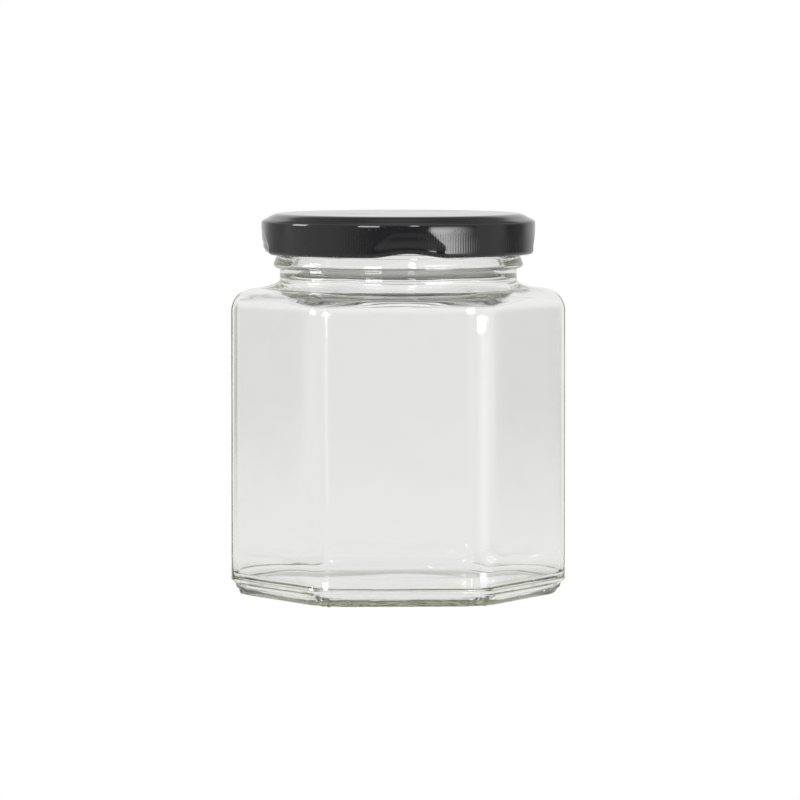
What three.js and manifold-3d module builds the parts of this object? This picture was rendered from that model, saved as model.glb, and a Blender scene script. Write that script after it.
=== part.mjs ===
// Hexagonal glass jar with a twist-off metal cap, empty, in millimetres, +Z up.
// The origin is on the axis at the height of the surface the jar stands on. One flat faces -Y,
// so two of the six upright corners point along +X and -X.

import * as THREE from "three";
import { mergeVertices } from "three/addons/utils/BufferGeometryUtils.js";
import Module from "manifold-3d";

// Body
const BODY_APOTHEM = 36; // axis to a flat
const WALL = 1.7;
const CORNER_ROUND = 8; // radius of an upright corner, outside
const INSIDE_ROUND = 7; // and inside
const LEAST_ROUND = 1.8; // corner radius of the smallest hexagonal levels
const OUTER_CORE = BODY_APOTHEM - CORNER_ROUND; // sharp hexagons that the rounds are drawn about
const INNER_CORE = BODY_APOTHEM - WALL - INSIDE_ROUND;
const SHOULDER_Z = 74.2;
const SHOULDER_ROUND = 5.8;

// Foot
const HEEL_TOP_Z = 4; // height of the mould seam
const HEEL_IN = 1.8; // how far the heel's slope runs inwards
const HEEL_LOW_Z = 0.75;
const FOOT_OUTER = 33.2; // apothems of the flat ring that the jar stands on
const FOOT_INNER = 29.8;
const SEAM_PROUD = 0.12;
const SEAM_HALF_HEIGHT = 0.25;
const PUSH_UP = 1.1; // hollow under the base, at the axis
const FLOOR_Z = 2.2; // inside floor, at its edge
const FLOOR_CROWN = 0.35;
const FLOOR_ROUND = 5; // width and height of the curve from the floor to the wall
const FLOOR_CURVE = 3.4;

// Neck and finish
const NECK_RADIUS = 28.6;
const NECK_CURVE = 1.9; // height of the curve from the shoulder to the neck, outside
const BORE_CURVE = 2.7; // and inside
const BORE_RADIUS = 26.8;
const BEAD_RADIUS = 30.1;
const BEAD_BOTTOM_Z = 78.8;
const BEAD_CURVE = 1.05; // height of the bead's lower half
const BEAD_TOP_Z = 80.2;
const FINISH_RADIUS = 29.3;
const FINISH_BOTTOM_Z = 82;
const RIM_Z = 90.95;
const RIM_ROUND = 0.85;
const THREAD_RADIUS = 31;
const THREAD_HALF_HEIGHT = 0.75;
const THREAD_LOW_Z = 86.3;
const THREAD_CLIMB = 2.6;
const THREAD_FROM = THREE.MathUtils.degToRad(-8); // measured from the lug that it holds
const THREAD_SWEEP = THREE.MathUtils.degToRad(70);

// Cap
const CAP_TOP_Z = 92.05;
const CAP_RADIUS = 33;
const CAP_BOTTOM_Z = 82.3;
const SHEET = 0.4;
const SEAL_INNER = 26.3; // sealing compound, moulded on the cap's underside
const SEAL_OUTER = 30.4;
const CURL_INNER = 31.3;
const CURL_HEIGHT = 2;
const LUGS = 4;
const LUG_RADIUS = 29.9;
const LUG_RISE = 1;
const LUG_PRESS = 0.45; // how far the skirt is pressed in above a lug
const LUG_FADE_Z = 87.5;
const LUG_EDGE_SPREAD = THREE.MathUtils.degToRad(17.5); // half width of the raised edge
const LUG_SPREAD = THREE.MathUtils.degToRad(11); // half width of the lug itself
const FIRST_LUG = THREE.MathUtils.degToRad(2.6); // round from the front, towards +X

// Facets
const JAR_SEGMENTS = 60; // a multiple of 12, so that flats and corners get equal shares
const CAP_SEGMENTS = 72;
const CROWDING = 0.1; // draws the segments together at the corners

// Distance from the axis to a hexagon with smooth corners, at an angle measured from the front flat.
// A corner is as far out as an arc of the round's radius would be, and its curve fades into the flats.
function hexagonRadius(angle, apothem, round) {
  const sixth = Math.PI / 3;
  const fromFlat = Math.abs(angle - sixth * Math.round(angle / sixth));
  const sharpness = -Math.log(2) / Math.log(1 - (1 - Math.cos(sixth / 2)) * (round / apothem));
  const sum = [-sixth, 0, sixth].reduce((total, flat) => total + Math.cos(fromFlat - flat) ** sharpness, 0);
  return apothem / sum ** (1 / sharpness);
}

// A level of the jar: its apothem or radius, its height and how hexagonal it is, from 0 to 1.
const level = (reach, z, hexagonal) => ({ reach, z, hexagonal });

// Levels along a stretch of an ellipse, from angle 0 (straight out) to 90 degrees (straight up).
function arc(centre, z, across, up, from, to, steps, hexagonalFrom, hexagonalTo = hexagonalFrom) {
  return Array.from({ length: steps + 1 }, (_, i) => {
    const angle = THREE.MathUtils.degToRad(from + ((to - from) * i) / steps);
    const hexagonal = THREE.MathUtils.lerp(hexagonalFrom, hexagonalTo, i / steps);
    return level(centre + across * Math.cos(angle), z + up * Math.sin(angle), hexagonal);
  });
}

const SHOULDER_ARC_Z = SHOULDER_Z - SHOULDER_ROUND;
const SHOULDER_REACH = BODY_APOTHEM - SHOULDER_ROUND;

// The jar's outside, from the middle of its underside up to the rim.
function outerProfile() {
  const neckZ = SHOULDER_Z + NECK_CURVE;
  const beadZ = BEAD_BOTTOM_Z + BEAD_CURVE;
  const heelLow = BODY_APOTHEM - HEEL_IN;
  return [
    level(0, PUSH_UP, 0),
    level(FOOT_INNER * 0.45, PUSH_UP * 0.92, 0.1),
    level(FOOT_INNER * 0.75, PUSH_UP * 0.68, 0.45),
    level(FOOT_INNER * 0.92, PUSH_UP * 0.38, 0.85),
    level(FOOT_INNER, 0, 1),
    level(FOOT_OUTER, 0, 1),
    level((FOOT_OUTER + heelLow) / 2 + 0.15, HEEL_LOW_Z * 0.28, 1),
    level(heelLow, HEEL_LOW_Z, 1),
    level(BODY_APOTHEM, HEEL_TOP_Z - SEAM_HALF_HEIGHT, 1),
    level(BODY_APOTHEM + SEAM_PROUD, HEEL_TOP_Z, 1),
    level(BODY_APOTHEM, HEEL_TOP_Z + SEAM_HALF_HEIGHT, 1),
    ...arc(SHOULDER_REACH, SHOULDER_ARC_Z, SHOULDER_ROUND, SHOULDER_ROUND, 0, 45, 3, 1),
    ...arc(SHOULDER_REACH, SHOULDER_ARC_Z, SHOULDER_ROUND, SHOULDER_ROUND, 60, 90, 2, 0.9, 0.7),
    ...arc(SHOULDER_REACH, neckZ, NECK_RADIUS - SHOULDER_REACH, -NECK_CURVE, 67.5, 0, 3, 0.55, 0),
    ...arc(NECK_RADIUS, beadZ, BEAD_RADIUS - NECK_RADIUS, BEAD_CURVE, -90, 0, 3, 0),
    level(BEAD_RADIUS - 0.1, BEAD_TOP_Z, 0),
    level(FINISH_RADIUS + 0.3, (BEAD_TOP_Z + FINISH_BOTTOM_Z) / 2 + 0.15, 0),
    level(FINISH_RADIUS, FINISH_BOTTOM_Z, 0),
    ...arc(FINISH_RADIUS - RIM_ROUND, RIM_Z - RIM_ROUND, RIM_ROUND, RIM_ROUND, 0, 90, 3, 0),
  ];
}

// The jar's inside, from the rim down to the middle of its floor.
function innerProfile() {
  const innerRound = SHOULDER_ROUND - WALL;
  const curveZ = SHOULDER_ARC_Z + innerRound + BORE_CURVE;
  const floorReach = BODY_APOTHEM - WALL - FLOOR_ROUND;
  return [
    ...arc(BORE_RADIUS + RIM_ROUND, RIM_Z - RIM_ROUND, -RIM_ROUND, RIM_ROUND, 90, 0, 3, 0),
    ...arc(SHOULDER_REACH, curveZ, BORE_RADIUS - SHOULDER_REACH, -BORE_CURVE, 0, 67.5, 3, 0, 0.5),
    ...arc(SHOULDER_REACH, SHOULDER_ARC_Z, innerRound, innerRound, 90, 45, 2, 0.6, 0.95),
    ...arc(SHOULDER_REACH, SHOULDER_ARC_Z, innerRound, innerRound, 22.5, 0, 1, 1),
    ...arc(floorReach, FLOOR_Z + FLOOR_CURVE, FLOOR_ROUND, -FLOOR_CURVE, 0, 90, 4, 1),
    level(FOOT_INNER * 0.6, FLOOR_Z + FLOOR_CROWN * 0.6, 0.3),
    level(0, FLOOR_Z + FLOOR_CROWN, 0),
  ];
}

// A lathe's vertices, each moved to the place that a rule gives for its column and row, with +Z up.
function shapedLathe(profile, segments, place) {
  const lathe = new THREE.LatheGeometry(
    profile.map((p) => new THREE.Vector2(p.reach, p.z)),
    segments,
  );
  const position = lathe.getAttribute("position");
  for (let i = 0; i <= segments; i++)
    profile.forEach((p, j) => {
      const { angle, radius, z } = place(p, (2 * Math.PI * (i % segments)) / segments);
      position.setXYZ(i * profile.length + j, radius * Math.sin(angle), -radius * Math.cos(angle), z);
    });
  return lathe;
}

// Places a level of the jar: round at the neck, hexagonal in the body, crowded towards the corners.
function placeOnJar({ reach, z, hexagonal, core }, even) {
  const angle = even + hexagonal * CROWDING * Math.sin(6 * even);
  if (reach === 0) return { angle, radius: 0, z };
  const hexagon = hexagonRadius(angle, reach, Math.max(reach - core, LEAST_ROUND));
  return { angle, radius: THREE.MathUtils.lerp(reach, hexagon, hexagonal), z };
}

// The cap's profile, from the middle of its underside, down inside the skirt, round the curl and up.
function capProfile() {
  const under = CAP_TOP_Z - SHEET;
  const inside = CAP_RADIUS - SHEET;
  const curlMiddle = CAP_BOTTOM_Z + CURL_HEIGHT / 2;
  const curl = (reach, z) => ({ reach, z, curl: true });
  const wall = (reach, z) => ({ reach, z, curl: false });
  return [
    wall(0, under),
    wall(SEAL_INNER - 0.4, under),
    wall(SEAL_INNER, RIM_Z),
    wall(SEAL_OUTER, RIM_Z),
    wall(inside - 0.65, CAP_TOP_Z - 1.85),
    wall(inside, CAP_TOP_Z - 2.6),
    wall(inside, LUG_FADE_Z),
    wall(inside, 86),
    wall(inside, CAP_BOTTOM_Z + CURL_HEIGHT + 0.2),
    curl(CURL_INNER + 0.4, CAP_BOTTOM_Z + CURL_HEIGHT - 0.1),
    curl(CURL_INNER, curlMiddle),
    curl(CURL_INNER + 0.3, CAP_BOTTOM_Z + 0.3),
    curl(CAP_RADIUS - 1, CAP_BOTTOM_Z),
    curl(CAP_RADIUS - 0.35, CAP_BOTTOM_Z + 0.3),
    curl(CAP_RADIUS, curlMiddle),
    wall(CAP_RADIUS, 84.8),
    wall(CAP_RADIUS, 86),
    wall(CAP_RADIUS, LUG_FADE_Z),
    wall(CAP_RADIUS, CAP_TOP_Z - 2.4),
    wall(CAP_RADIUS - 0.1, CAP_TOP_Z - 1.9),
    wall(CAP_RADIUS - 0.7, CAP_TOP_Z - 1.45),
    wall(CAP_RADIUS - 1.6, CAP_TOP_Z - 1),
    wall(CAP_RADIUS - 2.5, CAP_TOP_Z - 0.5),
    wall(CAP_RADIUS - 3.4, CAP_TOP_Z - 0.14),
    wall(CAP_RADIUS - 4.5, CAP_TOP_Z),
    wall(0, CAP_TOP_Z),
  ];
}

// 1 at the middle of a lug, falling smoothly to 0 at the given half width.
function lugShape(angle, spread) {
  const pitch = (2 * Math.PI) / LUGS;
  const turn = angle - FIRST_LUG;
  const fromLug = Math.abs(turn - pitch * Math.round(turn / pitch));
  return fromLug < spread ? Math.cos((fromLug / spread) * (Math.PI / 2)) ** 2 : 0;
}

// Places a point of the cap: over each lug the edge rises, the skirt is pressed in and the curl reaches inwards.
function placeOnCap({ reach, z, curl }, angle) {
  if (z > LUG_FADE_Z - 0.01) return { angle, radius: reach, z };
  const fade = curl ? 1 : THREE.MathUtils.smoothstep(LUG_FADE_Z - z, 0, LUG_FADE_Z - CAP_BOTTOM_Z - CURL_HEIGHT);
  const edge = lugShape(angle, LUG_EDGE_SPREAD) * fade;
  const inner = curl && reach < CAP_RADIUS - 0.9;
  const lug = inner ? lugShape(angle, LUG_SPREAD) * (CURL_INNER - LUG_PRESS - LUG_RADIUS) : 0;
  return { angle, radius: reach - edge * LUG_PRESS - lug, z: z + edge * LUG_RISE };
}

// One thread: a round-ended bar, bent round the finish as it climbs, half sunk in the glass.
function thread(lugAngle) {
  const length = THREAD_SWEEP * FINISH_RADIUS;
  const bar = new THREE.CapsuleGeometry(THREAD_HALF_HEIGHT, length, 2, 6, 10);
  const position = bar.getAttribute("position");
  for (let i = 0; i < position.count; i++) {
    const share = position.getY(i) / length + 0.5;
    const angle = lugAngle + THREAD_FROM + share * THREAD_SWEEP;
    const proud = ((THREAD_RADIUS - FINISH_RADIUS) * position.getX(i)) / THREAD_HALF_HEIGHT;
    const radius = FINISH_RADIUS - 0.05 + (proud > 0 ? proud : 0.3 * proud);
    const z = THREAD_LOW_Z + share * THREAD_CLIMB + position.getZ(i);
    position.setXYZ(i, radius * Math.sin(angle), -radius * Math.cos(angle), z);
  }
  return bar;
}

const wasm = await Module();
wasm.setup();

// A closed geometry as a solid that can be joined.
function toSolid(geometry) {
  const bare = geometry.clone();
  bare.deleteAttribute("normal");
  bare.deleteAttribute("uv");
  const merged = mergeVertices(bare, 1e-4);
  const index = merged.index.array;
  const triVerts = [];
  for (let i = 0; i < index.length; i += 3) {
    const [a, b, c] = index.slice(i, i + 3);
    if (a !== b && b !== c && c !== a) triVerts.push(a, b, c);
  }
  return new wasm.Manifold(
    new wasm.Mesh({
      numProp: 3,
      vertProperties: merged.attributes.position.array,
      triVerts: new Uint32Array(triVerts),
    }),
  );
}

function toGeometry(solid) {
  const mesh = solid.getMesh();
  const geometry = new THREE.BufferGeometry();
  geometry.setAttribute("position", new THREE.BufferAttribute(mesh.vertProperties, mesh.numProp));
  geometry.setIndex(new THREE.BufferAttribute(mesh.triVerts, 1));
  geometry.computeVertexNormals();
  return geometry;
}

function jarGlass() {
  const outside = outerProfile().map((p) => ({ ...p, core: OUTER_CORE }));
  const inside = innerProfile().map((p) => ({ ...p, core: INNER_CORE }));
  let solid = toSolid(shapedLathe([...outside, ...inside], JAR_SEGMENTS, placeOnJar));
  for (let i = 0; i < LUGS; i++) solid = solid.add(toSolid(thread(FIRST_LUG + (i * 2 * Math.PI) / LUGS)));
  const glass = new THREE.MeshStandardMaterial({
    color: 0xf1f4ee,
    roughness: 0.05,
    metalness: 0,
    transparent: true,
    opacity: 0.35,
  });
  const mesh = new THREE.Mesh(toGeometry(solid), glass);
  mesh.name = "jar_glass";
  return mesh;
}

function cap() {
  const lacquer = new THREE.MeshStandardMaterial({ color: 0x17171a, roughness: 0.22, metalness: 0.1 });
  const mesh = new THREE.Mesh(toGeometry(toSolid(shapedLathe(capProfile(), CAP_SEGMENTS, placeOnCap))), lacquer);
  mesh.name = "cap";
  return mesh;
}

const jar = new THREE.Group();
jar.add(jarGlass(), cap());

export default jar;
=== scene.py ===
"""A six-sided clear glass jar with a black twist-off cap, finished for rendering, in metres."""

import math

import bpy
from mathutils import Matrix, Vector


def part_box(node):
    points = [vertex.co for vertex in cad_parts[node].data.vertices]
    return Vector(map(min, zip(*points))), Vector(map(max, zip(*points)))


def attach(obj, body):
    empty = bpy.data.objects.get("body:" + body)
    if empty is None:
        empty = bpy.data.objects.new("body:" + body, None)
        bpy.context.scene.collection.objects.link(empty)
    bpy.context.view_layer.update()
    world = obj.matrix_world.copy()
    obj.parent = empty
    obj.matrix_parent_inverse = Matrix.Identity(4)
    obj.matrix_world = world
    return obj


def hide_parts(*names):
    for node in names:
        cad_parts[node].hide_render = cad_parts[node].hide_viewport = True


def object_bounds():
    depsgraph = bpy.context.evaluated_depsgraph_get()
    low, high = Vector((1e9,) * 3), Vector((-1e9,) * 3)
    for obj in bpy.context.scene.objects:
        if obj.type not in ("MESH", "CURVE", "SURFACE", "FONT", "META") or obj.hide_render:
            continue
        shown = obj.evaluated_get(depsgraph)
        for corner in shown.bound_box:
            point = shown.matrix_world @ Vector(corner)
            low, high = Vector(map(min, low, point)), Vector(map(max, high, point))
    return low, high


bl_info = {
    "name": "Hexagonal glass jar",
    "version": (1, 0, 0),
    "blender": (4, 5, 0),
    "location": "3D View > Sidebar > Jar",
    "description": "Makes a six-sided glass jar, its twist-off cap and a white studio",
    "category": "Add Mesh",
}

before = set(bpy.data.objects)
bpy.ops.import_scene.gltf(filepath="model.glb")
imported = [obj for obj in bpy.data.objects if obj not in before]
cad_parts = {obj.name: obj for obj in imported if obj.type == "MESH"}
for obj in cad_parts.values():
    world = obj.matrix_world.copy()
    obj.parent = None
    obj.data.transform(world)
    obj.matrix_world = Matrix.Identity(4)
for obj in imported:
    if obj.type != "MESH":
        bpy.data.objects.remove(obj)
CAD_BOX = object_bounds()
GLASS_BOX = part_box("jar_glass")
CAP_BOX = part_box("cap")

MM = 0.001
SIXTH = math.pi / 3
TURN = 2 * math.pi
MERGE_WITHIN = MM / 500
LIGHT_BOUNCES = 48

# Spare height between a curve, the threads or the rim and the plain wall next to it
ROUND_MARGIN = 1 * MM
THREAD_MARGIN = 1.6 * MM
RIM_MARGIN = 0.1 * MM

# Share of a thread's length over which each end fades
THREAD_END = 0.04

# Push-up under the base: shares of the foot's inside and of its height, rows, hexagonal and uneven weights
PUSH_UP_OUTLINE = ((0.45, 0.92, 5, 0.1, 0.6), (0.75, 0.68, 5, 0.45, 0.6), (0.92, 0.38, 4, 0.85, 0.4))

# Share of the foot's inside and of the crown's height where the inside floor is no longer hexagonal
CROWN_SHARE = 0.6

# Stipple: where it deepens, from a flat's middle at 0 to a corner at 0.5, and the slope of one mark
STIPPLE_CORNER = (0.28, 0.42)
STIPPLE_SLOPE = (0.15, 0.6)
STIPPLE_ON_FLATS = 0.2
STIPPLE_INWARDS = 0.6

# A pressing above a lug: the share of its depth that falls off steeply, its power, and where the rest ends
PRESS_STEEP = 0.75
PRESS_POWER = 4
PRESS_FADE = (0.6, 1.0)

# Small steps of the cap's sealing compound and of its rolled edge
SEAL_SLOPE = 0.4 * MM
SEAL_EDGE = 0.2 * MM
CURL_TUCK = 0.4 * MM
CURL_TUCK_DOWN = 0.1 * MM
CURL_EDGE = 0.3 * MM
CURL_ROUND = 1 * MM
CURL_ABOVE_INSIDE = 0.2 * MM
CURL_BELOW_OUTSIDE = 0.6 * MM

# Shoulder of the cap, inside and outside: millimetres inwards from the skirt, down from the top, and rows
CAP_SHOULDER_INSIDE = ((0.65, 1.85, 3), (0, 2.6, 2))
CAP_SHOULDER = (
    (0, 2.4, 1), (0.04, 2.1, 2), (0.1, 1.9, 2), (0.35, 1.66, 2), (0.7, 1.45, 2),
    (1.6, 1, 2), (2.5, 0.5, 2), (3.4, 0.14, 2), (3.9, 0.04, 2), (4.5, 0, 2),
)

# Floor and backdrop that the camera sees, and the table under the jar, in metres
FLOOR_BELOW = 0.2 * MM
FLOOR_HALF = 6
BACKDROP_SIDES = 48
BACKDROP_AWAY = 5.5
BACKDROP_FROM = -0.1
BACKDROP_TO = 6
TABLE_BELOW = 0.3 * MM
TABLE_HALF = 5

# Metres from the jar over which the pale table fades into the room's brightness
TABLE_FADE = (0.08, 0.8)

# Soft box's light on the table: degrees to the right where it starts and ends, and metres where it starts
SPILL_START = (22, 34)
SPILL_END = (50, 75)
SPILL_AWAY = (0.1, 0.25)

# Degrees from a gap's middle where its nearer and its farther edge start and end
GAP_NEARER_EDGE = (-21, -9)
GAP_FARTHER_EDGE = (8, 27)

# Steepness of a direction, 0 level and 1 straight up, between which each part of the room fades
GAPS_END = (0.06, 0.3)
CEILING_START = (0.2, 0.6)
OVERHANG_START = (0.4, 0.55)
OVERHANG_END = (0.8, 0.92)

# Degrees from the camera's direction, on each side, where the dark stretch above the backdrop fades in
OVERHANG_SIDES = (125, 150)

# Soft box: degrees round from the front, metres from the axis and metres high
SOFTBOX_SIDES = (22, 66)
SOFTBOX_AWAY = 1.25
SOFTBOX_HEIGHTS = (0.001, 0.4)

# Shares of its width and metres of its height where the soft box fades, and how much is lost
SOFTBOX_LEFT_EDGE = (0.0, 0.12)
SOFTBOX_RIGHTWARDS = (0.25, 1.0)
SOFTBOX_RIGHT_LOSS = 0.92
SOFTBOX_LOWER_EDGE = (-0.01, 0.045)
SOFTBOX_UPWARDS = (0.05, 0.3)
SOFTBOX_TOP_LOSS = 0.8

# Small lamps: degrees round from the front, width, and height of the lower and upper end, in metres
SMALL_LAMPS = ((-27, 0.5, 0.3, 0.8), (-94, 0.45, 0.3, 0.8), (12, 0.2, 0.6, 1.5))
LAMPS_AWAY = 1.6


def length(name, description, millimetres):
    """A size that a user can change."""
    return bpy.props.FloatProperty(
        name=name, description=description, default=millimetres * MM, unit="LENGTH", precision=5
    )


def turn(name, description, degrees):
    """An angle that a user can change."""
    return bpy.props.FloatProperty(
        name=name, description=description, default=math.radians(degrees), unit="ROTATION"
    )


def colour(name, description, rgb):
    """A colour that a user can change."""
    return bpy.props.FloatVectorProperty(
        name=name, description=description, default=rgb, size=3, min=0, max=1, subtype="COLOR"
    )


def amount(name, description, value):
    """A plain number that a user can change."""
    return bpy.props.FloatProperty(name=name, description=description, default=value)


def count(name, description, value):
    """A whole number that a user can change."""
    return bpy.props.IntProperty(name=name, description=description, default=value)


class JarSizes(bpy.types.PropertyGroup):
    """The glass jar's sizes, in the order that they come up from the foot."""

    seam_proud: length("Seam", "How far the mould seam stands out", 0.12)
    seam_height: length("Seam height", "Height of the mould seam", 4)
    seam_half: length("Seam half", "Half the width of the mould seam", 0.25)
    apothem: length("Apothem", "Axis to a flat of the body", GLASS_BOX[1].y / MM - 0.12)
    corner_round: length("Corner round", "Outside radius of an upright corner", 8)
    inside_round: length("Inside round", "Inside radius of an upright corner", 7)
    least_round: length("Least round", "Corner radius of the smallest hexagonal levels", 1.8)
    wall: length("Wall", "Thickness of the body's wall", 1.7)
    foot_outer: length("Foot outside", "Outside apothem of the ring it stands on", 33.2)
    foot_inner: length("Foot inside", "Inside apothem of the ring it stands on", 29.8)
    inner_edge: length("Inner edge", "Width of the foot's inner edge", 0.4)
    outer_edge: length("Outer edge", "Width of the foot's outer edge", 0.3)
    toe_height: length("Toe height", "Height of the round between foot and heel", 0.21)
    toe_swell: length("Toe swell", "How far that round stands out", 0.15)
    push_up: length("Push-up", "Height of the hollow under the base", 1.1)
    heel_in: length("Heel in", "How far the heel slopes inwards", 1.8)
    heel_low: length("Heel bottom", "Height where the heel's slope starts", 0.75)
    floor_height: length("Floor", "Height of the inside floor at its edge", 2.2)
    floor_crown: length("Floor crown", "Rise of the inside floor at the axis", 0.35)
    floor_round: length("Floor round", "Width of the inside curve from floor to wall", 5)
    floor_curve: length("Floor curve", "Height of the inside curve from floor to wall", 3.4)
    shoulder_height: length("Shoulder", "Height of the shoulder", 74.2)
    shoulder_round: length("Shoulder round", "Radius from wall to shoulder", 5.8)
    neck: length("Neck", "Outside radius of the neck", 28.6)
    neck_curve: length("Neck curve", "Height of the outside curve from shoulder to neck", 1.9)
    bore_curve: length("Bore curve", "Height of the inside curve from shoulder to neck", 2.7)
    bore: length("Bore", "Inside radius of the neck", 26.8)
    bead: length("Bead", "Outside radius of the bead", 30.1)
    bead_bottom: length("Bead bottom", "Height of the bead's lower edge", 78.8)
    bead_curve: length("Bead curve", "Height of the curve under the bead", 1.05)
    bead_taper: length("Bead taper", "How much narrower the bead is at its top", 0.1)
    slope_out: length("Slope out", "How far the slope above the bead swells out", 0.3)
    slope_up: length("Slope up", "How far its middle is raised", 0.15)
    bead_top: length("Bead top", "Height where the bead starts to taper", 80.2)
    finish: length("Finish", "Outside radius of the wall under the cap", 29.3)
    finish_bottom: length("Finish bottom", "Height where that wall starts", 82)
    rim: length("Rim", "Height of the rim", GLASS_BOX[1].z / MM)
    rim_round: length("Rim round", "Radius of the rim's edges", 0.85)
    thread: length("Thread", "Outside radius of the threads", 31)
    thread_half: length("Thread half", "Half the height of a thread", 0.75)
    thread_low: length("Thread low", "Height of a thread's lower end", 86.3)
    thread_climb: length("Thread climb", "Rise of a thread from end to end", 2.6)
    thread_from: turn("Thread start", "Turn from a lug to its thread's lower end", -8)
    thread_sweep: turn("Thread sweep", "Turn of a thread from end to end", 70)
    stipple: length("Stipple", "Depth of the stipple on the foot", 0.3)
    stipple_pitch: length("Stipple pitch", "Distance between stipple marks", 1.3)
    wave: length("Wave", "Unevenness of the blown inside", 0.16)
    wave_pitch: length("Wave pitch", "Distance between its highs", 22)
    columns: count("Columns", "Faces round the axis", 456)
    crowding: amount("Crowding", "How closely the columns gather at the corners", 0.1)


class GlassFinish(bpy.types.PropertyGroup):
    """The glass as a material."""

    tint: colour("Tint", "What thick glass lets through", (0.30, 0.325, 0.08))
    density: amount("Density", "How strongly the tint works, per metre", 18)
    ior: amount("Refraction", "Index of refraction", 1.52)
    ripple: amount("Ripple", "Strength of the mould's faint ripple", 0.05)
    ripple_pitch: length("Ripple pitch", "Distance between the ripple's highs", 9)
    grain: amount("Grain", "Share of the finer ripple", 0.12)
    grain_pitch: length("Grain pitch", "Distance between the finer ripple's highs", 2.5)


class CapSizes(bpy.types.PropertyGroup):
    """The metal cap's sizes."""

    top: length("Top", "Height of the cap's top", CAP_BOX[1].z / MM)
    bottom: length("Bottom", "Height of the cap's lower edge", CAP_BOX[0].z / MM)
    radius: length("Radius", "Outside radius of the skirt", CAP_BOX[1].x / MM)
    sheet: length("Sheet", "Thickness of the metal with its lacquer", 0.4)
    seal_inner: length("Seal inside", "Inside radius of the sealing compound", 26.3)
    seal_outer: length("Seal outside", "Outside radius of the sealing compound", 30.4)
    seal_gap: length("Seal gap", "Air between the compound and the rim", 0.03)
    curl_inner: length("Curl inside", "Inside radius of the rolled edge", 31.3)
    curl_height: length("Curl height", "Height of the rolled edge", 2)
    lugs: count("Lugs", "Number of lugs", 4)
    first_lug: turn("First lug", "Turn from the front to the first lug", 2.6)
    fade_height: length("Fade height", "Height where the raised edge has mostly faded", 86)
    lug_radius: length("Lug radius", "Inside radius of a lug", 29.9)
    lug_rise: length("Lug rise", "Rise of the edge at a lug", 1)
    lug_press: length("Lug press", "How far the skirt is pressed in at a lug", 0.45)
    press_top: length("Press top", "Height where the pressing starts", 88.6)
    press_bottom: length("Press bottom", "Height where the pressing is full", 84.4)
    press_wide: turn("Press wide", "Half width of the pressing at its foot", 13.5)
    press_narrow: turn("Press narrow", "Half width of the pressing at its top", 6)
    press_edge: turn("Press edge", "Softness of the pressing's edges", 2.4)
    edge_spread: turn("Edge spread", "Half width of the raised edge", 17.5)
    lug_spread: turn("Lug spread", "Half width of a lug", 11)
    knurls: count("Knurls", "Number of fine upright knurls", 312)
    knurl_depth: length("Knurl depth", "Depth of a knurl", 0.03)
    knurl_columns: count("Knurl columns", "Faces across a knurl", 4)


class CapFinish(bpy.types.PropertyGroup):
    """The cap's lacquer and sealing compound."""

    lacquer: colour("Lacquer", "Outside of the cap", (0.0025, 0.0025, 0.0035))
    inside: colour("Inside", "Lacquer on the inside of the cap", (0.86, 0.86, 0.84))
    gloss: amount("Gloss", "Roughness of the lacquer", 0.07)
    ior: amount("Refraction", "Index of refraction of the lacquer", 1.5)
    dull: amount("Dull inside", "How much rougher the lacquer is inside", 0.3)
    peel: amount("Peel", "Strength of the lacquer's uneven skin", 0.06)
    peel_pitch: length("Peel pitch", "Distance between the highs of the uneven skin", 7)
    grain: amount("Grain", "Share of the finer unevenness", 0.25)
    grain_pitch: length("Grain pitch", "Distance between the finer highs", 0.9)
    wear: amount("Wear", "How much rougher a worn patch is", 0.05)
    wear_pitch: length("Wear pitch", "Distance between worn patches", 12)
    dust: amount("Dust", "How much rougher a speck of dust is", 0.25)
    dust_pitch: length("Dust pitch", "Distance between specks of dust", 0.35)


class StudioSettings(bpy.types.PropertyGroup):
    """The camera and the light."""

    azimuth: turn("Azimuth", "Direction of the camera, round from the front", -2)
    distance: length("Distance", "Camera to the jar's axis, along the floor", 1378)
    height: length("Height", "Height of the camera", 133.7)
    pitch: turn("Pitch", "How far the camera looks down", 3.603)
    pan: turn("Pan", "How far the camera looks to the right of the axis", 0.017)
    lens: bpy.props.FloatProperty(name="Lens", description="Focal length", default=257.4, unit="CAMERA")
    backdrop: amount("Backdrop", "Brightness of the room round the jar", 0.88)
    ceiling: amount("Ceiling", "Brightness of the room overhead", 0.98)
    overhang: amount("Overhang", "Brightness of the dark stretch above the backdrop", 0.3)
    booth: amount("Booth", "Brightness of the wall behind the camera", 0.35)
    booth_wide: turn("Booth width", "Half width of the dark wall, with its soft edge", 60)
    booth_even: turn("Booth even", "Half width of its even middle", 12)
    left_at: turn("Left gap at", "Turn from the camera to the middle of the left gap", 126)
    right_at: turn("Right gap at", "Turn from the camera to the middle of the right gap", 116)
    gap_left: amount("Left gap", "Brightness of the left gap", 0.5)
    gap_right: amount("Right gap", "Brightness of the right gap", 0.31)
    table: amount("Table", "Brightness of the table near the jar", 0.84)
    spill: amount("Spill", "Light of the soft box on the table", 0.9)
    softbox: amount("Softbox", "Brightness of the soft box", 11)
    lamps: amount("Lamps", "Brightness of the small lamps", 11)


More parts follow.
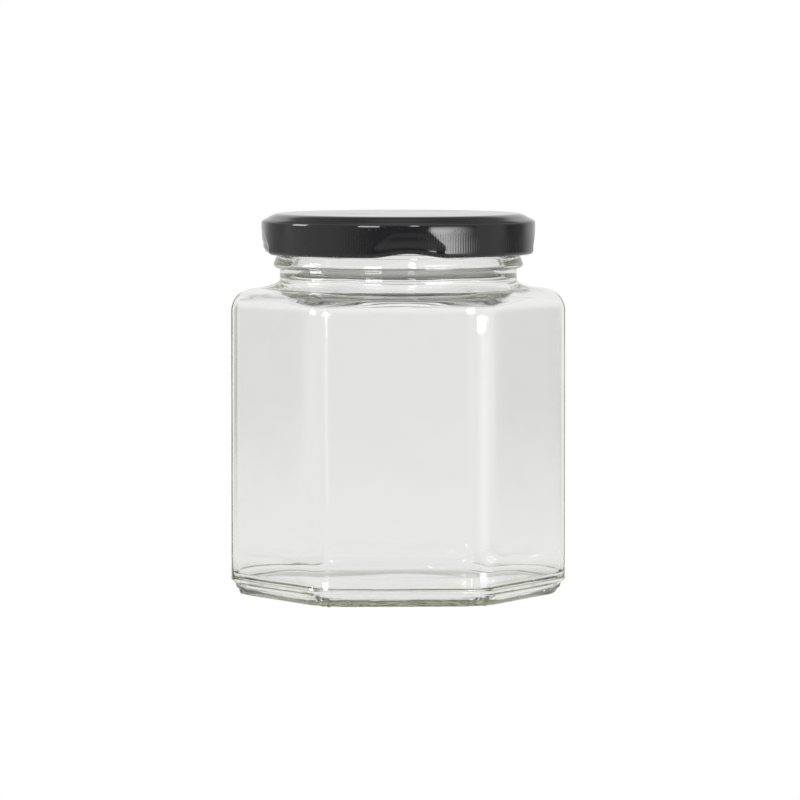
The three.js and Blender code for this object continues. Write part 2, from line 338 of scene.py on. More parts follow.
class Term:
    """A number or a vector that flows through a node tree, so that a tree reads as a formula."""

    def __init__(self, tree, socket):
        self.tree = tree
        self.socket = socket

    def maths(self, operation, *others):
        node = self.tree.nodes.new("ShaderNodeMath")
        node.operation = operation
        for socket, value in zip(node.inputs, (self, *others)):
            feed(self.tree, socket, value)
        return Term(self.tree, node.outputs[0])

    def __add__(self, other):
        return self.maths("ADD", other)

    def __sub__(self, other):
        return self.maths("SUBTRACT", other)

    def __mul__(self, other):
        return self.maths("MULTIPLY", other)

    def __truediv__(self, other):
        return self.maths("DIVIDE", other)

    def smooth_step(self, start, end):
        """0 below start, 1 above end and a smooth rise between them."""
        node = self.tree.nodes.new("ShaderNodeMapRange")
        node.interpolation_type = "SMOOTHSTEP"
        for name, value in (("Value", self), ("From Min", start), ("From Max", end)):
            feed(self.tree, node.inputs[name], value)
        return Term(self.tree, node.outputs[0])


def feed(tree, socket, value):
    """Links a term to a socket, or sets a plain value on it."""
    if isinstance(value, Term):
        tree.links.new(value.socket, socket)
    else:
        socket.default_value = value


def add_node(tree, kind, settings=(), **inputs):
    """Adds a node with its settings, and its inputs by name, and returns its outputs as terms."""
    node = tree.nodes.new(kind)
    for name, value in dict(settings).items():
        setattr(node, name, value)
    for name, value in inputs.items():
        feed(tree, node.inputs[name.replace("_", " ")], value)
    return [Term(tree, output) for output in node.outputs if output.enabled]


def vector_maths(tree, operation, first, second):
    """A vector worked out from two others, or from a vector and a number when it is scaled."""
    node = tree.nodes.new("ShaderNodeVectorMath")
    node.operation = operation
    feed(tree, node.inputs[0], first)
    feed(tree, node.inputs["Scale"] if operation == "SCALE" else node.inputs[1], second)
    return Term(tree, node.outputs["Value" if operation == "DOT_PRODUCT" else "Vector"])


def new_tree(name, inputs):
    """A geometry node tree with named inputs: the tree and its inputs as terms by name."""
    tree = bpy.data.node_groups.new(name, "GeometryNodeTree")
    tree.interface.new_socket("Geometry", in_out="INPUT", socket_type="NodeSocketGeometry")
    for label, kind in inputs.items():
        tree.interface.new_socket(label, in_out="INPUT", socket_type="NodeSocket" + kind)
    tree.interface.new_socket("Geometry", in_out="OUTPUT", socket_type="NodeSocketGeometry")
    start = tree.nodes.new("NodeGroupInput")
    return tree, {output.name: Term(tree, output) for output in start.outputs if output.name}


def lathe_grid(tree, profile, columns, names):
    """A grid with a row for each point of the profile: the grid, the turn of its columns, and by name
    the numbers that its rows take from the profile's points."""
    rows = add_node(tree, "GeometryNodeAttributeDomainSize", Geometry=profile)[0]
    grid = add_node(
        tree, "GeometryNodeMeshGrid", Size_X=1.0, Size_Y=1.0, Vertices_X=columns + 1, Vertices_Y=rows
    )[0]
    (position,) = add_node(tree, "GeometryNodeInputPosition")
    across, along, _ = add_node(tree, "ShaderNodeSeparateXYZ", Vector=position)
    row = ((along + 0.5) * (rows - 1)).maths("ROUND")
    even = ((across + 0.5) * columns).maths("ROUND") / columns * TURN
    carried = {}
    for name in names:
        value = add_node(tree, "GeometryNodeInputNamedAttribute", Name=name)[0]
        (carried[name],) = add_node(tree, "GeometryNodeSampleIndex", Geometry=profile, Value=value, Index=row)
    return grid, even, carried


def on_axis_turn(tree, angle, radius, height):
    """The place at a turn from the front, a radius and a height."""
    return add_node(
        tree,
        "ShaderNodeCombineXYZ",
        X=radius * angle.maths("SINE"),
        Y=radius * angle.maths("COSINE") * -1,
        Z=height,
    )[0]


def close_lathe(tree, grid, place, material):
    """Moves the grid's points to their places, closes the seam and the poles, and ends the tree."""
    (shape,) = add_node(tree, "GeometryNodeSetPosition", Geometry=grid, Position=place)
    (shape,) = add_node(tree, "GeometryNodeMergeByDistance", Geometry=shape, Distance=MERGE_WITHIN)
    (shape,) = add_node(tree, "GeometryNodeSetShadeSmooth", Geometry=shape)
    (shape,) = add_node(tree, "GeometryNodeRealizeInstances", Geometry=shape)
    (shape,) = add_node(tree, "GeometryNodeSetMaterial", Geometry=shape, Material=material)
    feed(tree, tree.nodes.new("NodeGroupOutput").inputs[0], shape)


def from_lug(angle, lugs, first):
    """How far a turn is from the nearest lug."""
    turns = (angle - first) / TURN * lugs
    return (turns - turns.maths("ROUND")).maths("ABSOLUTE") / lugs * TURN


def swell(distance, spread):
    """1 at no distance, falling smoothly to 0 at the spread."""
    return ((distance / spread).maths("MINIMUM", 1) * (math.pi / 2)).maths("COSINE").maths("POWER", 2)


def rounded_hexagon(angle, apothem, round_):
    """Distance from the axis to a hexagon with smooth corners, at a turn from the front flat. A corner is
    as far out as an arc of the round's radius would be, and its curve fades into the flats."""
    sixths = angle / SIXTH
    from_flat = (sixths - sixths.maths("ROUND")).maths("ABSOLUTE") * SIXTH
    shrink = round_ / apothem * (math.cos(SIXTH / 2) - 1) + 1
    softness = shrink.maths("LOGARITHM", math.e) / -math.log(2)
    sharpness = softness.maths("POWER", -1)
    reach = from_flat.maths("COSINE").maths("POWER", sharpness)
    for neighbour in (SIXTH, -SIXTH):
        reach = reach + (from_flat - neighbour).maths("COSINE").maths("POWER", sharpness)
    return apothem / reach.maths("POWER", softness)


def thread_bulge(angle, height, given):
    """How far a thread stands out of the wall under the cap, at a turn and a height."""
    turns = (angle - given["First lug"] - given["Thread from"]) / TURN * given["Lugs"]
    share = (turns - turns.maths("FLOOR")) / given["Lugs"] * TURN / given["Thread sweep"]
    line = given["Thread low"] + share * given["Thread climb"]
    off_line = (height - line) / given["Thread half"]
    bulge = (off_line * off_line * -1 + 1).maths("MAXIMUM", 0).maths("SQRT")
    ends = share.smooth_step(0.0, THREAD_END) * (share * -1 + 1).smooth_step(0.0, THREAD_END)
    return bulge * ends * given["Thread proud"]


def glass_tree():
    """Round at the neck and hexagonal in the body: each row of the profile blends between the two."""
    numbers = ("Least round", "Crowding", "Lugs", "First lug", "Thread from", "Thread sweep",
               "Thread low", "Thread climb", "Thread half", "Thread proud", "Stipple", "Stipple scale",
               "Wave", "Wave scale")
    inputs = {"Columns": "Int", **{name: "Float" for name in numbers}, "Material": "Material"}
    tree, given = new_tree("Hexagonal glass", inputs)
    grid, even, row = lathe_grid(
        tree, given["Geometry"], given["Columns"],
        ("reach", "height", "hexagonal", "core", "threaded", "stippled", "waved"),
    )
    angle = even + row["hexagonal"] * given["Crowding"] * (even * 6).maths("SINE")
    round_ = (row["reach"] - row["core"]).maths("MAXIMUM", given["Least round"])
    hexagon = rounded_hexagon(angle, row["reach"].maths("MAXIMUM", given["Least round"]), round_)
    radius = row["reach"] + (hexagon - row["reach"]) * row["hexagonal"]
    radius = radius + thread_bulge(angle, row["height"], given) * row["threaded"]
    smooth = on_axis_turn(tree, angle, radius, row["height"])
    cells = add_node(tree, "ShaderNodeTexVoronoi", Vector=smooth, Scale=given["Stipple scale"])[0]
    sixths = even / SIXTH
    at_corner = (sixths - sixths.maths("ROUND")).maths("ABSOLUTE").smooth_step(*STIPPLE_CORNER)
    depth = at_corner * (1 - STIPPLE_ON_FLATS) + STIPPLE_ON_FLATS
    marks = cells.smooth_step(*STIPPLE_SLOPE) * given["Stipple"] * row["stippled"] * depth
    height = row["height"] + marks
    radius = radius - marks * STIPPLE_INWARDS
    noise = add_node(tree, "ShaderNodeTexNoise", Vector=smooth, Scale=given["Wave scale"], Detail=1.0)
    drift = vector_maths(tree, "SUBTRACT", noise[1], (0.5, 0.5, 0.5))
    drift = vector_maths(tree, "SCALE", drift, row["waved"] * given["Wave"] * 2)
    place = vector_maths(tree, "ADD", on_axis_turn(tree, angle, radius, height), drift)
    close_lathe(tree, grid, place, given["Material"])
    return tree


def cap_tree():
    """A round cap whose edge rises and whose skirt is pressed in at each lug, with knurls on the skirt."""
    numbers = ("Lugs", "First lug", "Lug rise", "Lug reach", "Edge spread", "Lug spread", "Press",
               "Press wide", "Press narrow", "Press edge", "Press bottom", "Press top", "Knurls",
               "Knurl depth")
    inputs = {"Columns": "Int", **{name: "Float" for name in numbers}, "Material": "Material"}
    tree, given = new_tree("Twist-off cap", inputs)
    grid, angle, row = lathe_grid(
        tree, given["Geometry"], given["Columns"],
        ("reach", "height", "raised", "pressed", "hooked", "knurled", "lined"),
    )
    off_lug = from_lug(angle, given["Lugs"], given["First lug"])
    rise = swell(off_lug, given["Edge spread"]) * row["raised"]
    up = (row["height"] - given["Press bottom"]) / (given["Press top"] - given["Press bottom"])
    up = up.maths("MAXIMUM", 0).maths("MINIMUM", 1)
    edge = given["Press wide"] + (given["Press narrow"] - given["Press wide"]) * up
    beside = off_lug.smooth_step(edge - given["Press edge"], edge + given["Press edge"])
    steep = (up * -1 + 1).maths("POWER", PRESS_POWER) * PRESS_STEEP
    gentle = (up.smooth_step(*PRESS_FADE) * -1 + 1) * (1 - PRESS_STEEP)
    press = (beside * -1 + 1) * (steep + gentle) * row["pressed"]
    hook = swell(off_lug, given["Lug spread"]) * row["hooked"]
    knurl = ((angle * given["Knurls"]).maths("COSINE") - 1) * 0.5 * (press * -1 + 1) * row["knurled"]
    radius = row["reach"] - press * given["Press"] - hook * given["Lug reach"] + knurl * given["Knurl depth"]
    height = row["height"] + rise * given["Lug rise"]
    (grid,) = add_node(
        tree, "GeometryNodeStoreNamedAttribute", Geometry=grid, Name="lined", Value=row["lined"]
    )
    close_lathe(tree, grid, on_axis_turn(tree, angle, radius, height), given["Material"])
    return tree


class Profile:
    """The points of a lathe's outline, each with its reach from the axis, its height and named weights."""

    def __init__(self, names):
        self.names = ("reach", "height", *names)
        self.points = []

    def add(self, reach, height, **weights):
        self.points.append({"reach": reach, "height": height, **weights})

    def line(self, reach, height, steps, **weights):
        """Goes on in a straight line from the last point."""
        last = self.points[-1]
        for i in range(1, steps + 1):
            share = i / steps
            self.add(
                last["reach"] + (reach - last["reach"]) * share,
                last["height"] + (height - last["height"]) * share,
                **{name: last.get(name, 0) + (weights.get(name, 0) - last.get(name, 0)) * share
                   for name in self.names[2:]},
            )

    def arc(self, centre, height, across, up, start, end, steps, **weights):
        """A stretch of an ellipse, between two angles in degrees, 0 straight out and 90 straight up.
        A weight may be a pair, its values at the start and at the end."""
        for i in range(steps + 1):
            share = i / steps
            eased = share * share * (3 - 2 * share)
            angle = math.radians(start + (end - start) * share)
            here = {
                name: value[0] + (value[1] - value[0]) * eased if isinstance(value, tuple) else value
                for name, value in weights.items()
            }
            self.add(centre + across * math.cos(angle), height + up * math.sin(angle), **here)

    def to_object(self, name):
        """A string of points, with no faces, that carries the weights as attributes."""
        mesh = bpy.data.meshes.new(name)
        mesh.from_pydata(
            [(point["reach"], 0, point["height"]) for point in self.points],
            [(i, i + 1) for i in range(len(self.points) - 1)],
            [],
        )
        for label in self.names:
            attribute = mesh.attributes.new(label, "FLOAT", "POINT")
            attribute.data.foreach_set("value", [float(point.get(label, 0)) for point in self.points])
        piece = bpy.data.objects.new(name, mesh)
        bpy.context.scene.collection.objects.link(piece)
        return piece


def apply_tree(piece, tree, values):
    """Runs the tree on the piece with the given inputs, and leaves a plain mesh."""
    modifier = piece.modifiers.new(tree.name, "NODES")
    modifier.node_group = tree
    sockets = {item.name: item for item in tree.interface.items_tree if item.in_out == "INPUT"}
    for name, value in values.items():
        modifier[sockets[name].identifier] = value
    bpy.context.view_layer.update()
    depsgraph = bpy.context.evaluated_depsgraph_get()
    made = bpy.data.meshes.new_from_object(piece.evaluated_get(depsgraph))
    piece.modifiers.remove(modifier)
    points = piece.data
    piece.data = made
    bpy.data.meshes.remove(points)
    made.name = piece.name
    if not made.polygons:
        raise RuntimeError(f"{piece.name} came out with no faces")


def glass_profile(size):
    """From the middle of the underside, up the outside, over the rim and down the inside to the floor.
    The weights say how hexagonal, stippled, threaded and uneven each level is."""
    reach = size.apothem - size.shoulder_round
    arc_z = size.shoulder_height - size.shoulder_round
    outline = Profile(("hexagonal", "core", "threaded", "stippled", "waved"))
    outline.add(0, size.push_up, waved=0.5)
    for out, up, rows, hexagonal, waved in PUSH_UP_OUTLINE:
        outline.line(size.foot_inner * out, size.push_up * up, rows, hexagonal=hexagonal, waved=waved)
    outline.line(size.foot_inner, 0, 4, hexagonal=1)
    outline.line(size.foot_inner + size.inner_edge, 0, 1, hexagonal=1, stippled=1)
    outline.line(size.foot_outer - size.outer_edge, 0, 10, hexagonal=1, stippled=1)
    outline.line(size.foot_outer, 0, 1, hexagonal=1, stippled=0.6)
    heel_reach = size.apothem - size.heel_in
    toe_reach = (size.foot_outer + heel_reach) / 2 + size.toe_swell
    outline.line(toe_reach, size.toe_height, 2, hexagonal=1, stippled=0.6)
    outline.line(heel_reach, size.heel_low, 3, hexagonal=1, stippled=1)
    heel_half = (heel_reach + size.apothem) / 2
    outline.line(heel_half, (size.heel_low + size.seam_height) / 2, 6, hexagonal=1, stippled=0.8)
    outline.line(size.apothem, size.seam_height - size.seam_half, 5, hexagonal=1)
    outline.line(size.apothem + size.seam_proud, size.seam_height, 2, hexagonal=1)
    outline.line(size.apothem, size.seam_height + size.seam_half, 2, hexagonal=1)
    outline.line(size.apothem, arc_z - ROUND_MARGIN, 12, hexagonal=1)
    round_ = size.shoulder_round
    outline.arc(reach, arc_z, round_, round_, 0, 40, 7, hexagonal=1)
    outline.arc(reach, arc_z, round_, round_, 46, 90, 8, hexagonal=(0.99, 0.7))
    curve = size.neck_curve
    neck_z = size.shoulder_height + curve
    outline.arc(reach, neck_z, size.neck - reach, -curve, 84, 0, 12, hexagonal=(0.69, 0))
    curve = size.bead_curve
    outline.arc(size.neck, size.bead_bottom + curve, size.bead - size.neck, curve, -90, 0, 9)
    outline.line(size.bead - size.bead_taper, size.bead_top, 2)
    slope_z = (size.bead_top + size.finish_bottom) / 2 + size.slope_up
    outline.line(size.finish + size.slope_out, slope_z, 3)
    outline.line(size.finish, size.finish_bottom, 2)
    outline.line(size.finish, size.thread_low - THREAD_MARGIN, 2)
    outline.line(size.finish, size.rim - size.rim_round - RIM_MARGIN, 22, threaded=1)
    rim_z = size.rim - size.rim_round
    rim_middle = (size.finish + size.bore) / 2
    rim_land = (size.finish - size.bore) / 2 - size.rim_round
    outline.arc(rim_middle + rim_land, rim_z, size.rim_round, size.rim_round, 0, 90, 7)
    outline.arc(rim_middle - rim_land, rim_z, -size.rim_round, size.rim_round, 90, 0, 7)
    round_ = size.shoulder_round - size.wall
    curve = size.bore_curve
    curve_z = arc_z + round_ + curve
    outline.line(size.bore, curve_z, 5, waved=0.6)
    outline.arc(reach, curve_z, size.bore - reach, -curve, 6, 84, 9, hexagonal=(0, 0.6), waved=(0.6, 1))
    outline.arc(reach, arc_z, round_, round_, 90, 40, 6, hexagonal=(0.6, 0.95), waved=1)
    outline.arc(reach, arc_z, round_, round_, 35, 0, 5, hexagonal=1, waved=1)
    inside = size.apothem - size.wall
    low = size.floor_height + size.floor_curve
    outline.line(inside, low + ROUND_MARGIN, 12, hexagonal=1, waved=1)
    floor_reach = inside - size.floor_round
    outline.arc(floor_reach, low, size.floor_round, -size.floor_curve, 0, 90, 14, hexagonal=1, waved=1)
    crown_z = size.floor_height + size.floor_crown * CROWN_SHARE
    outline.line(size.foot_inner * CROWN_SHARE, crown_z, 6, hexagonal=0.3, waved=1)
    outline.line(0, size.floor_height + size.floor_crown, 6, waved=0.6)
    rim = max(outline.points, key=lambda point: point["height"])
    for point in outline.points:
        point["core"] = size.apothem - size.corner_round
    for point in outline.points[outline.points.index(rim):]:
        point["core"] = inside - size.inside_round
    return outline


def cap_profile(size, rim):
    """From the middle of the underside, down inside the skirt, round the rolled edge and up to the top."""
    under = size.top - size.sheet
    inside = size.radius - size.sheet
    curl_top = size.bottom + size.curl_height
    curl_half = size.curl_height / 2
    curl_middle = size.bottom + curl_half
    seal = rim + size.seal_gap
    outline = Profile(("raised", "pressed", "hooked", "knurled", "lined"))
    outline.add(0, under, lined=1)
    outline.line(size.seal_inner - SEAL_SLOPE, under, 6, lined=1)
    outline.line(size.seal_inner, seal + SEAL_EDGE / 2, 2, lined=1)
    outline.line(size.seal_inner + SEAL_EDGE, seal, 1, lined=1)
    outline.line(size.seal_outer, seal, 3, lined=1)
    for inwards, down, rows in CAP_SHOULDER_INSIDE:
        outline.line(inside - inwards * MM, size.top - down * MM, rows, lined=1)
    outline.line(inside, size.press_top, 1, lined=1, pressed=1)
    outline.line(inside, curl_top + CURL_ABOVE_INSIDE, 6, lined=1, pressed=1, raised=1)
    curl = {"pressed": 1, "raised": 1}
    tuck_z = curl_top - CURL_TUCK_DOWN
    outline.line(size.curl_inner + CURL_TUCK, tuck_z, 2, hooked=1, lined=0.5, **curl)
    outline.line(size.curl_inner, curl_middle, 3, hooked=1, **curl)
    outline.line(size.curl_inner + CURL_EDGE, size.bottom + CURL_EDGE, 2, hooked=1, **curl)
    outline.line(size.radius - CURL_ROUND, size.bottom, 2, hooked=0.6, **curl)
    outline.arc(size.radius - CURL_ROUND, curl_middle, CURL_ROUND, curl_half, -80, 0, 6, **curl)
    outline.line(size.radius, curl_top - CURL_BELOW_OUTSIDE, 2, pressed=1, raised=0.85, knurled=0.9)
    outline.line(size.radius, size.fade_height, 4, pressed=1, raised=0.35, knurled=1)
    outline.line(size.radius, size.press_top, 6, pressed=1)
    for inwards, down, rows in CAP_SHOULDER:
        outline.line(size.radius - inwards * MM, size.top - down * MM, rows)
    outline.line(0, size.top, 8)
    return outline


def new_material(name):
    """A material with an empty node tree: the material, its tree and its output."""
    material = bpy.data.materials.new(name)
    material.use_nodes = True
    material.node_tree.nodes.clear()
    return material, material.node_tree, material.node_tree.nodes.new("ShaderNodeOutputMaterial")


def object_place(tree):
    """The place on the piece, in metres."""
    return Term(tree, tree.nodes.new("ShaderNodeTexCoord").outputs["Object"])


def noise_at(tree, place, pitch, detail=2.0, roughness=0.5):
    """A smooth random number with highs about a pitch apart."""
    return add_node(
        tree, "ShaderNodeTexNoise", Vector=place, Scale=1 / pitch, Detail=detail, Roughness=roughness
    )[0]


def bumped(tree, height, strength, distance):
    """A normal that is bent by a height."""
    return add_node(tree, "ShaderNodeBump", Height=height, Strength=strength, Distance=distance)[0]


def mixed_colour(tree, share, first, second):
    """The first colour where the share is 0 and the second where it is 1."""
    node = tree.nodes.new("ShaderNodeMix")
    node.data_type = "RGBA"
    feed(tree, node.inputs["Factor"], share)
    sockets = {socket.identifier: socket for socket in node.inputs}
    sockets["A_Color"].default_value = (*first, 1)
    sockets["B_Color"].default_value = (*second, 1)
    return Term(tree, next(output for output in node.outputs if output.enabled))


def glass_material(look):
    """Clear glass: bright and faintly rippled on the surface, and warm green in the thickness."""
    material, tree, output = new_material("clear_glass")
    place = object_place(tree)
    grain = noise_at(tree, place, look.grain_pitch) * look.grain
    ripple = noise_at(tree, place, look.ripple_pitch, 1.0) + grain
    surface = tree.nodes.new("ShaderNodeBsdfPrincipled")
    surface.inputs["Base Color"].default_value = (1, 1, 1, 1)
    surface.inputs["Roughness"].default_value = 0
    surface.inputs["IOR"].default_value = look.ior
    surface.inputs["Transmission Weight"].default_value = 1
    feed(tree, surface.inputs["Normal"], bumped(tree, ripple, look.ripple, 1 * MM))
    inside = tree.nodes.new("ShaderNodeVolumeAbsorption")
    inside.inputs["Color"].default_value = (*look.tint, 1)
    inside.inputs["Density"].default_value = look.density
    tree.links.new(surface.outputs[0], output.inputs["Surface"])
    tree.links.new(inside.outputs[0], output.inputs["Volume"])
    return material


def lacquer_material(look):
    """Gloss black lacquer outside, with an uneven skin and dusty specks, and pale lacquer inside."""
    material, tree, output = new_material("black_lacquer")
    place = object_place(tree)
    grain = noise_at(tree, place, look.grain_pitch) * look.grain
    peel = grain + noise_at(tree, place, look.peel_pitch, 1.0)
    dust = noise_at(tree, place, look.dust_pitch, 0.0).smooth_step(0.74, 0.8)
    wear = noise_at(tree, place, look.wear_pitch, 3.0).smooth_step(0.45, 0.75)
    lined = add_node(tree, "ShaderNodeAttribute", {"attribute_name": "lined"})[2]
    inside = lined.smooth_step(0.35, 0.65)
    surface = tree.nodes.new("ShaderNodeBsdfPrincipled")
    feed(tree, surface.inputs["Base Color"], mixed_colour(tree, inside, look.lacquer, look.inside))
    rough = wear * look.wear + dust * look.dust + inside * look.dull + look.gloss
    feed(tree, surface.inputs["Roughness"], rough)
    surface.inputs["IOR"].default_value = look.ior
    feed(tree, surface.inputs["Normal"], bumped(tree, peel, look.peel, 0.3 * MM))
    tree.links.new(surface.outputs[0], output.inputs["Surface"])
    return material


def towards(azimuth):
    """The level direction at a turn from the front."""
    return Vector((math.sin(azimuth), -math.cos(azimuth), 0))


def side_turn(tree, direction, studio):
    """How far round a direction is from the camera's, from -pi to pi, more than 0 on the right."""
    facing = vector_maths(tree, "DOT_PRODUCT", direction, towards(studio.azimuth))
    beside = vector_maths(tree, "DOT_PRODUCT", direction, towards(studio.azimuth + math.pi / 2))
    return beside.maths("ARCTAN2", facing)


def smooth_turn(turned, degrees):
    """A smooth rise from 0 to 1 between two turns that are given in degrees."""
    return turned.smooth_step(*(math.radians(edge) for edge in degrees))


def surround(tree, turned, studio, gaps=1):
    """Brightness of the room: a darker wall behind the camera, and a dark gap on each side of the backdrop,
    which shows as much as gaps says, from 0 to 1."""
    side = turned.maths("ABSOLUTE")
    before_wall = side.smooth_step(studio.booth_even, studio.booth_wide) * -1 + 1
    wall = before_wall * (studio.backdrop - studio.booth)
    on_right = turned.maths("GREATER_THAN", 0)
    middle = on_right * (studio.right_at - studio.left_at) + studio.left_at
    into_gap = side.smooth_step(*(middle + math.radians(edge) for edge in GAP_NEARER_EDGE))
    out_of_gap = side.smooth_step(*(middle + math.radians(edge) for edge in GAP_FARTHER_EDGE))
    depth = on_right * (studio.gap_left - studio.gap_right) + (studio.backdrop - studio.gap_left)
    return (wall * -1 + studio.backdrop) - (into_gap - out_of_gap) * depth * gaps


def glow(tree, strength):
    """White light of a brightness."""
    (light,) = add_node(tree, "ShaderNodeEmission", Strength=strength)
    light.socket.node.inputs["Color"].default_value = (1, 1, 1, 1)
    return light


def studio_world(studio):
    """The room that the glass and the cap reflect: walls with their gaps, a dark stretch above the backdrop
    and an even ceiling."""
    world = bpy.data.worlds.new("studio_room")
    bpy.context.scene.world = world
    world.use_nodes = True
    tree = world.node_tree
    tree.nodes.clear()
    direction = Term(tree, tree.nodes.new("ShaderNodeTexCoord").outputs["Generated"])
    up = add_node(tree, "ShaderNodeSeparateXYZ", Vector=direction)[2]
    turned = side_turn(tree, direction, studio)
    round_about = surround(tree, turned, studio, up.smooth_step(*GAPS_END) * -1 + 1)
    over = up.smooth_step(*OVERHANG_START) - up.smooth_step(*OVERHANG_END)
    behind = smooth_turn(turned.maths("ABSOLUTE"), OVERHANG_SIDES) * over
    strength = round_about + (round_about * -1 + studio.ceiling) * up.smooth_step(*CEILING_START)
    strength = strength + (strength * -1 + studio.overhang) * behind
    (light,) = add_node(tree, "ShaderNodeBackground", Strength=strength)
    light.socket.node.inputs["Color"].default_value = (1, 1, 1, 1)
    output = tree.nodes.new("ShaderNodeOutputWorld")
    tree.links.new(light.socket, output.inputs["Surface"])


def stage_piece(name, mesh, material, seen_by_camera):
    """A piece of the studio that either the camera or only the glass and the cap can see."""
    mesh.materials.append(material)
    piece = bpy.data.objects.new(name, mesh)
    bpy.context.scene.collection.objects.link(piece)
    piece.visible_camera = seen_by_camera
    if seen_by_camera:
        piece.visible_diffuse = False
        piece.visible_glossy = False
        piece.visible_transmission = False
        piece.visible_shadow = False
    return piece


def flat_mesh(name, corners):
    """A flat four-sided mesh."""
    mesh = bpy.data.meshes.new(name)
    mesh.from_pydata(corners, [], [(0, 1, 2, 3)])
    return mesh


def upright_mesh(name, first, last, low, high):
    """A flat upright mesh over the line between two places, from one height to another."""
    bottom, top = Vector((0, 0, low)), Vector((0, 0, high))
    return flat_mesh(name, [first + bottom, last + bottom, last + top, first + top])


def square(half, height):
    """The corners of a level square round the jar."""
    return [(-half, -half, height), (half, -half, height), (half, half, height), (-half, half, height)]


def studio_floor():
    """A plain white floor and the backdrop round it, as the camera sees them."""
    material, tree, output = new_material("plain_white")
    tree.links.new(glow(tree, 1.0).socket, output.inputs["Surface"])
    low = CAD_BOX[0].z - FLOOR_BELOW
    stage_piece("studio_floor", flat_mesh("studio_floor", square(FLOOR_HALF, low)), material, True)
    sides = BACKDROP_SIDES
    ring = [
        towards(TURN * i / sides) * BACKDROP_AWAY + Vector((0, 0, height))
        for height in (low + BACKDROP_FROM, BACKDROP_TO)
        for i in range(sides)
    ]
    walls = [(i, (i + 1) % sides, sides + (i + 1) % sides, sides + i) for i in range(sides)]
    mesh = bpy.data.meshes.new("studio_backdrop")
    mesh.from_pydata(ring, [], [*walls, tuple(range(sides, 2 * sides))])
    stage_piece("studio_backdrop", mesh, material, True)


def studio_table(studio):
    """The table as the glass and the cap see it: pale at the jar, and like the room farther out."""
    material, tree, output = new_material("table_light")
    place = object_place(tree)
    turned = side_turn(tree, place, studio)
    away = vector_maths(tree, "DOT_PRODUCT", place, place).maths("SQRT")
    round_about = surround(tree, turned, studio)
    pale = (away.smooth_step(*TABLE_FADE) * -1 + 1) * (round_about * -1 + studio.table)
    lit = smooth_turn(turned, SPILL_START) * (smooth_turn(turned, SPILL_END) * -1 + 1)
    spill = lit * away.smooth_step(*SPILL_AWAY) * studio.spill
    tree.links.new(glow(tree, round_about + pale + spill).socket, output.inputs["Surface"])
    low = CAD_BOX[0].z - TABLE_BELOW
    stage_piece("studio_table", flat_mesh("studio_table", square(TABLE_HALF, low)), material, False)


def soft_box(studio):
    """A soft light low to the right of the camera, brightest at its lower left, which the cap reflects."""
    material, tree, output = new_material("soft_box_light")
    first, last = (towards(math.radians(side)) * SOFTBOX_AWAY for side in SOFTBOX_SIDES)
    along = (last - first).normalized()
    share = vector_maths(tree, "DOT_PRODUCT", object_place(tree), along)
    share = (share - first.dot(along)) / (last - first).length
    up = add_node(tree, "ShaderNodeSeparateXYZ", Vector=object_place(tree))[2]
    dimming = share.smooth_step(*SOFTBOX_RIGHTWARDS) * -SOFTBOX_RIGHT_LOSS + 1
    strength = share.smooth_step(*SOFTBOX_LEFT_EDGE) * dimming * studio.softbox
    thinning = up.smooth_step(*SOFTBOX_UPWARDS) * -SOFTBOX_TOP_LOSS + 1
    strength = strength * up.smooth_step(*SOFTBOX_LOWER_EDGE) * thinning
    tree.links.new(glow(tree, strength).socket, output.inputs["Surface"])
    stage_piece("soft_box", upright_mesh("soft_box", first, last, *SOFTBOX_HEIGHTS), material, False)


def small_lamps(studio):
    """Upright lamps above the table, which leave short bright marks on the cap's edge."""
    material, tree, output = new_material("lamp_light")
    tree.links.new(glow(tree, studio.lamps).socket, output.inputs["Surface"])
    for i, (degrees, wide, low, high) in enumerate(SMALL_LAMPS):
        side = math.radians(degrees)
        middle = towards(side) * LAMPS_AWAY
        across = towards(side + math.pi / 2) * wide / 2
        name = f"small_lamp_{i + 1}"
        stage_piece(name, upright_mesh(name, middle - across, middle + across, low, high), material, False)


def studio_camera(studio):
    """The camera, a little higher than the jar and looking slightly down on it."""
    data = bpy.data.cameras.new("camera")
    data.sensor_width = 36
    data.lens = studio.lens
    camera = bpy.data.objects.new("camera", data)
    bpy.context.scene.collection.objects.link(camera)
    camera.location = towards(studio.azimuth) * studio.distance + Vector((0, 0, studio.height))
    camera.rotation_euler = (math.pi / 2 - studio.pitch, 0, studio.azimuth - studio.pan)
    bpy.context.scene.camera = camera


class HEXJAR_OT_glass(bpy.types.Operator):
    """Make the glass jar"""

    bl_idname = "hexjar.glass"
    bl_label = "Glass jar"

    def execute(self, context):
        size = context.scene.jar_sizes
        cap = context.scene.cap_sizes
        jar = glass_profile(size).to_object("glass_jar")
        apply_tree(jar, glass_tree(), {
            "Columns": size.columns,
            "Least round": size.least_round,
            "Crowding": size.crowding,
            "Lugs": float(cap.lugs),
            "First lug": cap.first_lug,
            "Thread from": size.thread_from,
            "Thread sweep": size.thread_sweep,
            "Thread low": size.thread_low,
            "Thread climb": size.thread_climb,
            "Thread half": size.thread_half,
            "Thread proud": size.thread - size.finish,
            "Stipple": size.stipple,
            "Stipple scale": 1 / size.stipple_pitch,
            "Wave": size.wave,
            "Wave scale": 1 / size.wave_pitch,
            "Material": glass_material(context.scene.glass_finish),
        })
        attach(jar, "root")
        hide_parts("jar_glass")
        return {"FINISHED"}


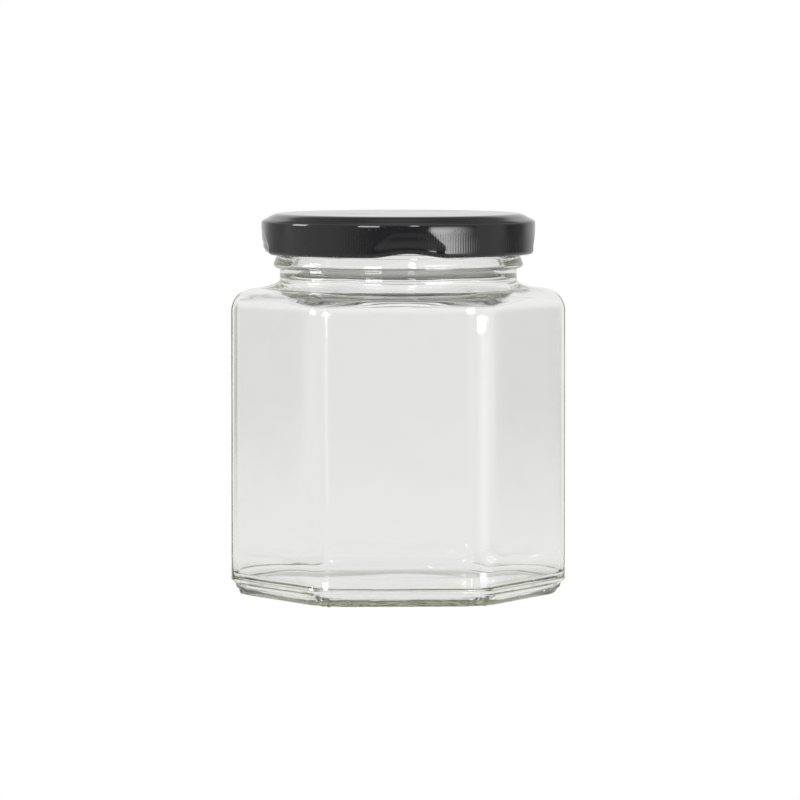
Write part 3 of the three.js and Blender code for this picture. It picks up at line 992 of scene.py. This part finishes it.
class HEXJAR_OT_cap(bpy.types.Operator):
    """Make the black twist-off cap"""

    bl_idname = "hexjar.cap"
    bl_label = "Twist-off cap"

    def execute(self, context):
        size = context.scene.cap_sizes
        cap = cap_profile(size, context.scene.jar_sizes.rim).to_object("metal_cap")
        apply_tree(cap, cap_tree(), {
            "Columns": size.knurls * size.knurl_columns,
            "Lugs": float(size.lugs),
            "First lug": size.first_lug,
            "Lug rise": size.lug_rise,
            "Lug reach": size.curl_inner - size.lug_press - size.lug_radius,
            "Edge spread": size.edge_spread,
            "Lug spread": size.lug_spread,
            "Press": size.lug_press,
            "Press wide": size.press_wide,
            "Press narrow": size.press_narrow,
            "Press edge": size.press_edge,
            "Press bottom": size.press_bottom,
            "Press top": size.press_top,
            "Knurls": float(size.knurls),
            "Knurl depth": size.knurl_depth,
            "Material": lacquer_material(context.scene.cap_finish),
        })
        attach(cap, "root")
        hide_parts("cap")
        return {"FINISHED"}


class HEXJAR_OT_studio(bpy.types.Operator):
    """Make the camera, the floor and the light"""

    bl_idname = "hexjar.studio"
    bl_label = "White studio"

    def execute(self, context):
        scene = context.scene
        studio = scene.studio_settings
        studio_camera(studio)
        studio_world(studio)
        studio_floor()
        studio_table(studio)
        soft_box(studio)
        small_lamps(studio)
        scene.view_settings.view_transform = "Standard"
        scene.cycles.max_bounces = LIGHT_BOUNCES
        scene.cycles.transmission_bounces = LIGHT_BOUNCES
        scene.cycles.glossy_bounces = LIGHT_BOUNCES
        return {"FINISHED"}


class HEXJAR_PT_panel(bpy.types.Panel):
    """The jar's operators and sizes"""

    bl_idname = "HEXJAR_PT_panel"
    bl_label = "Hexagonal jar"
    bl_space_type = "VIEW_3D"
    bl_region_type = "UI"
    bl_category = "Jar"

    def draw(self, context):
        for operator in OPERATORS:
            self.layout.operator(operator.bl_idname)
        for name, group in GROUPS.items():
            box = self.layout.box()
            box.label(text=group.__doc__)
            for field in group.__annotations__:
                box.prop(getattr(context.scene, name), field)


GROUPS = {
    "jar_sizes": JarSizes,
    "glass_finish": GlassFinish,
    "cap_sizes": CapSizes,
    "cap_finish": CapFinish,
    "studio_settings": StudioSettings,
}
OPERATORS = (HEXJAR_OT_studio, HEXJAR_OT_glass, HEXJAR_OT_cap)


def register():
    for cls in (*GROUPS.values(), *OPERATORS, HEXJAR_PT_panel):
        bpy.utils.register_class(cls)
    for name, group in GROUPS.items():
        setattr(bpy.types.Scene, name, bpy.props.PointerProperty(type=group))


def unregister():
    for name in GROUPS:
        delattr(bpy.types.Scene, name)
    for cls in (HEXJAR_PT_panel, *OPERATORS, *GROUPS.values()):
        bpy.utils.unregister_class(cls)


def main():
    """Makes the whole scene."""
    register()
    bpy.ops.hexjar.studio()
    bpy.ops.hexjar.glass()
    bpy.ops.hexjar.cap()


if __name__ == "__main__":
    main()
